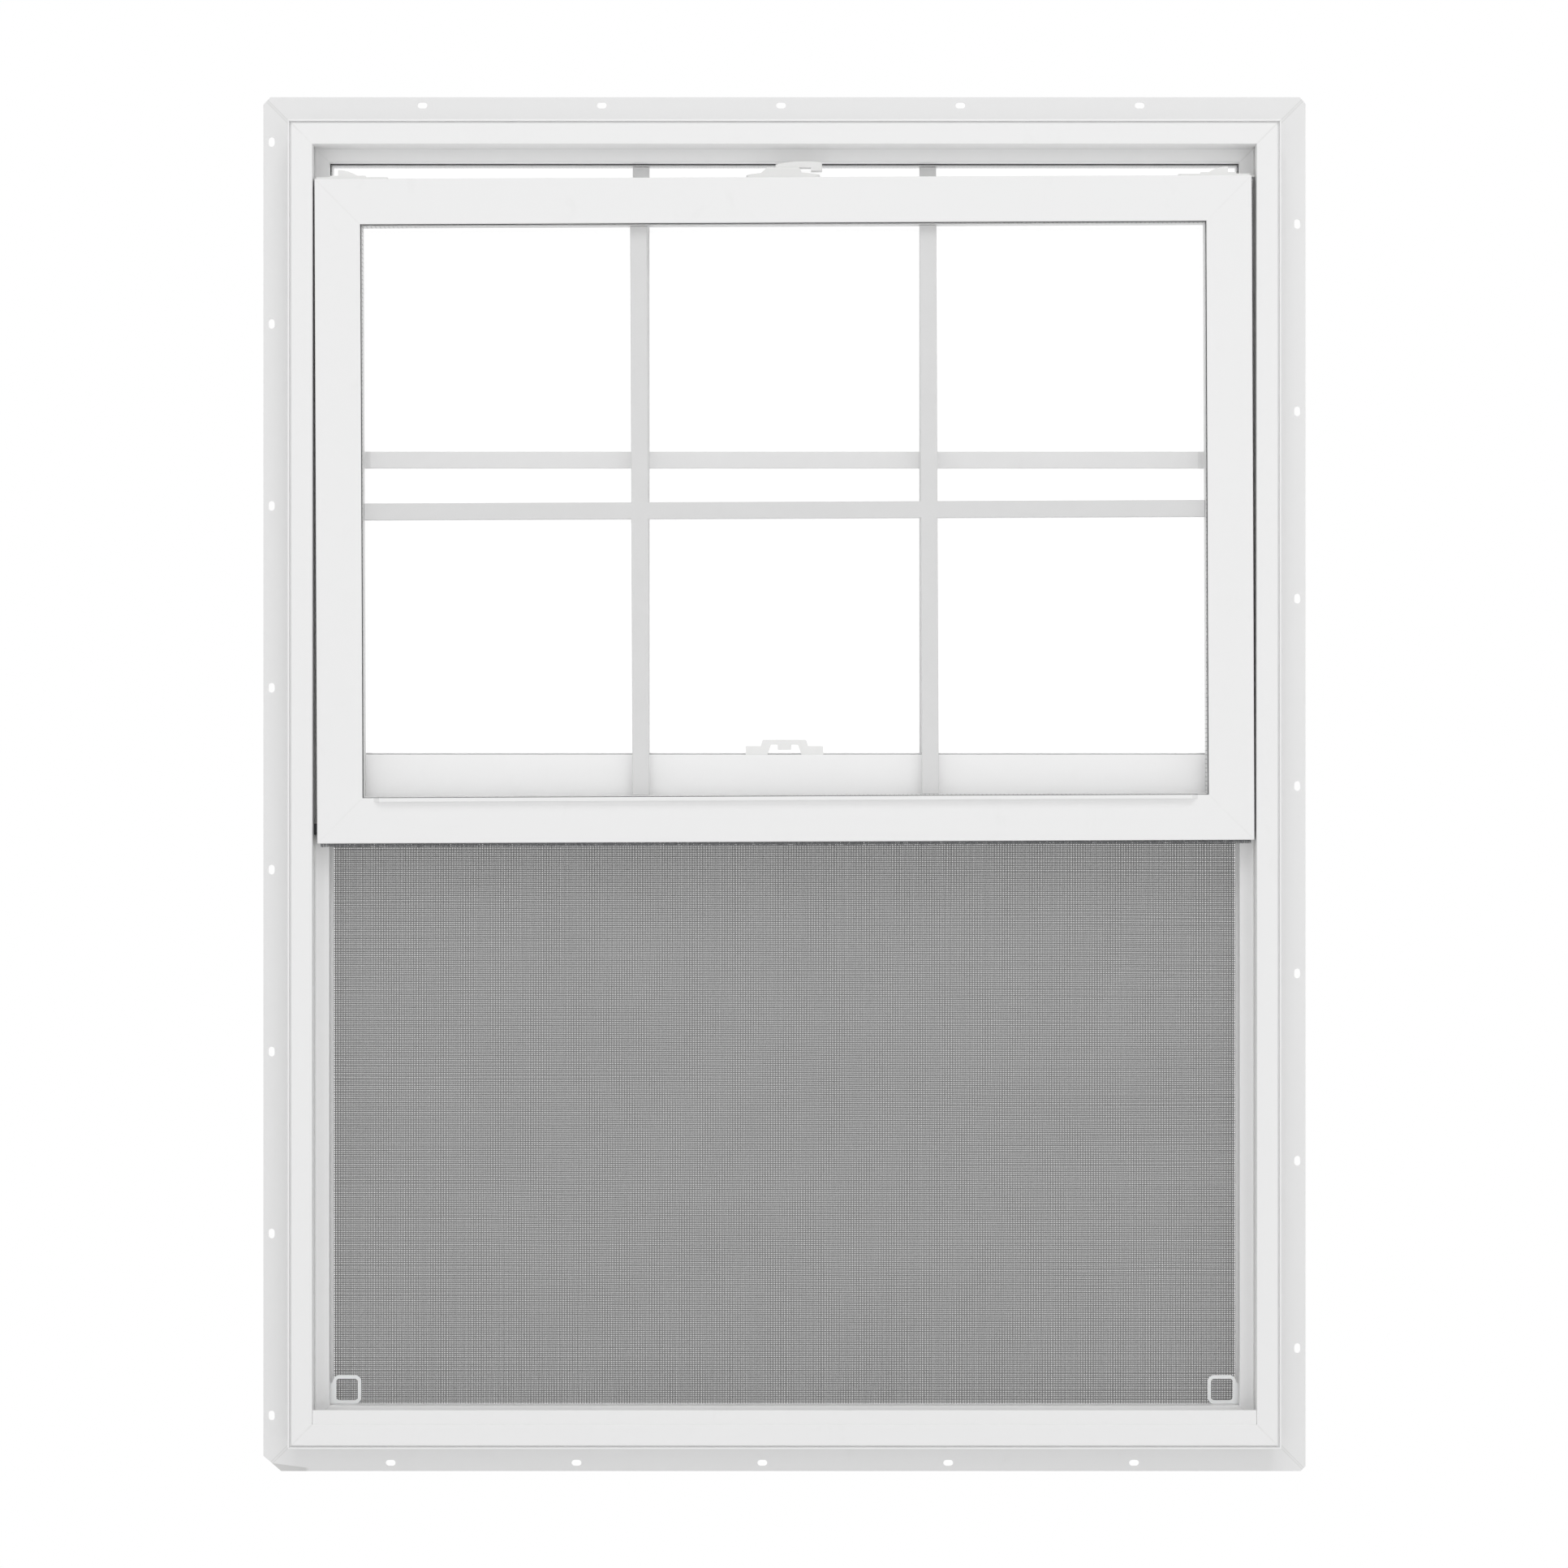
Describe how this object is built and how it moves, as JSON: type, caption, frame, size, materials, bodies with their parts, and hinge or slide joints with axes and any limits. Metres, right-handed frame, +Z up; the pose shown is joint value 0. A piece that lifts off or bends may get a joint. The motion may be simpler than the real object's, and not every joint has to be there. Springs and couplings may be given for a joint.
{
  "type": "single hung window",
  "caption": "White vinyl single hung window with nail fins, fixed upper light, raised lower sash with grids between the panes, cam lock, tilt latches and insect screen.",
  "frame": {"origin": "on the wall side face of the sill's nail fin, at the middle of the fin's width and of the window's width", "axes": "+X to the right seen from the room, +Y outdoors through the wall, +Z up"},
  "size_m": [0.9578, 0.0755, 1.2625],
  "materials": {
    "vinyl": "satin rigid vinyl",
    "glass": "clear float glass",
    "spacer": "mill finish strip",
    "black_tape": "black foam glazing tape",
    "grid_bar": "white baked enamel on aluminium",
    "pile": "charcoal polypropylene pile",
    "white_hardware": "white powder coat on die cast zinc",
    "white_plastic": "moulded white plastic",
    "soft_tab": "soft moulded vinyl",
    "screen_bar": "white baked enamel on aluminium",
    "screen_cloth": "charcoal coated glass fibre yarn",
    "spline_cord": "grey vinyl spline",
    "steel": "zinc plated",
    "shoe_plastic": "natural acetal",
    "block_rubber": "black setting block"
  },
  "bodies": {
    "root": {"frame_head": "vinyl", "frame_sill": "vinyl", "frame_jamb_left": "vinyl", "frame_jamb_right": "vinyl", "sill_riser": "vinyl", "meeting_rail": "vinyl", "upper_beads": "vinyl", "sash_top_rail": "vinyl", "sash_bottom_rail": "vinyl", "sash_stile_left": "vinyl", "sash_stile_right": "vinyl", "sash_beads": "vinyl", "upper_glass_inner": "glass", "upper_glass_outer": "glass", "sash_glass_inner": "glass", "sash_glass_outer": "glass", "upper_spacer": "spacer", "sash_spacer": "spacer", "upper_tape": "black_tape", "sash_tape": "black_tape", "upper_grid": "grid_bar", "sash_grid": "grid_bar", "sash_side_piles": "pile", "sash_bottom_pile": "pile", "lock_base": "white_hardware", "lock_lever": "white_hardware", "lock_keeper": "white_hardware", "tilt_latch_left": "white_plastic", "tilt_latch_right": "white_plastic", "tilt_button_left": "white_plastic", "tilt_button_right": "white_plastic", "pull_tab_left": "soft_tab", "pull_tab_right": "soft_tab", "screen_rail_top": "screen_bar", "screen_rail_bottom": "screen_bar", "screen_stile_left": "screen_bar", "screen_stile_right": "screen_bar", "screen_mesh": "screen_cloth", "screen_spline": "spline_cord", "pivot_bars": "steel", "balance_shoes": "shoe_plastic", "setting_blocks": "block_rubber"}
  },
  "joints": []
}
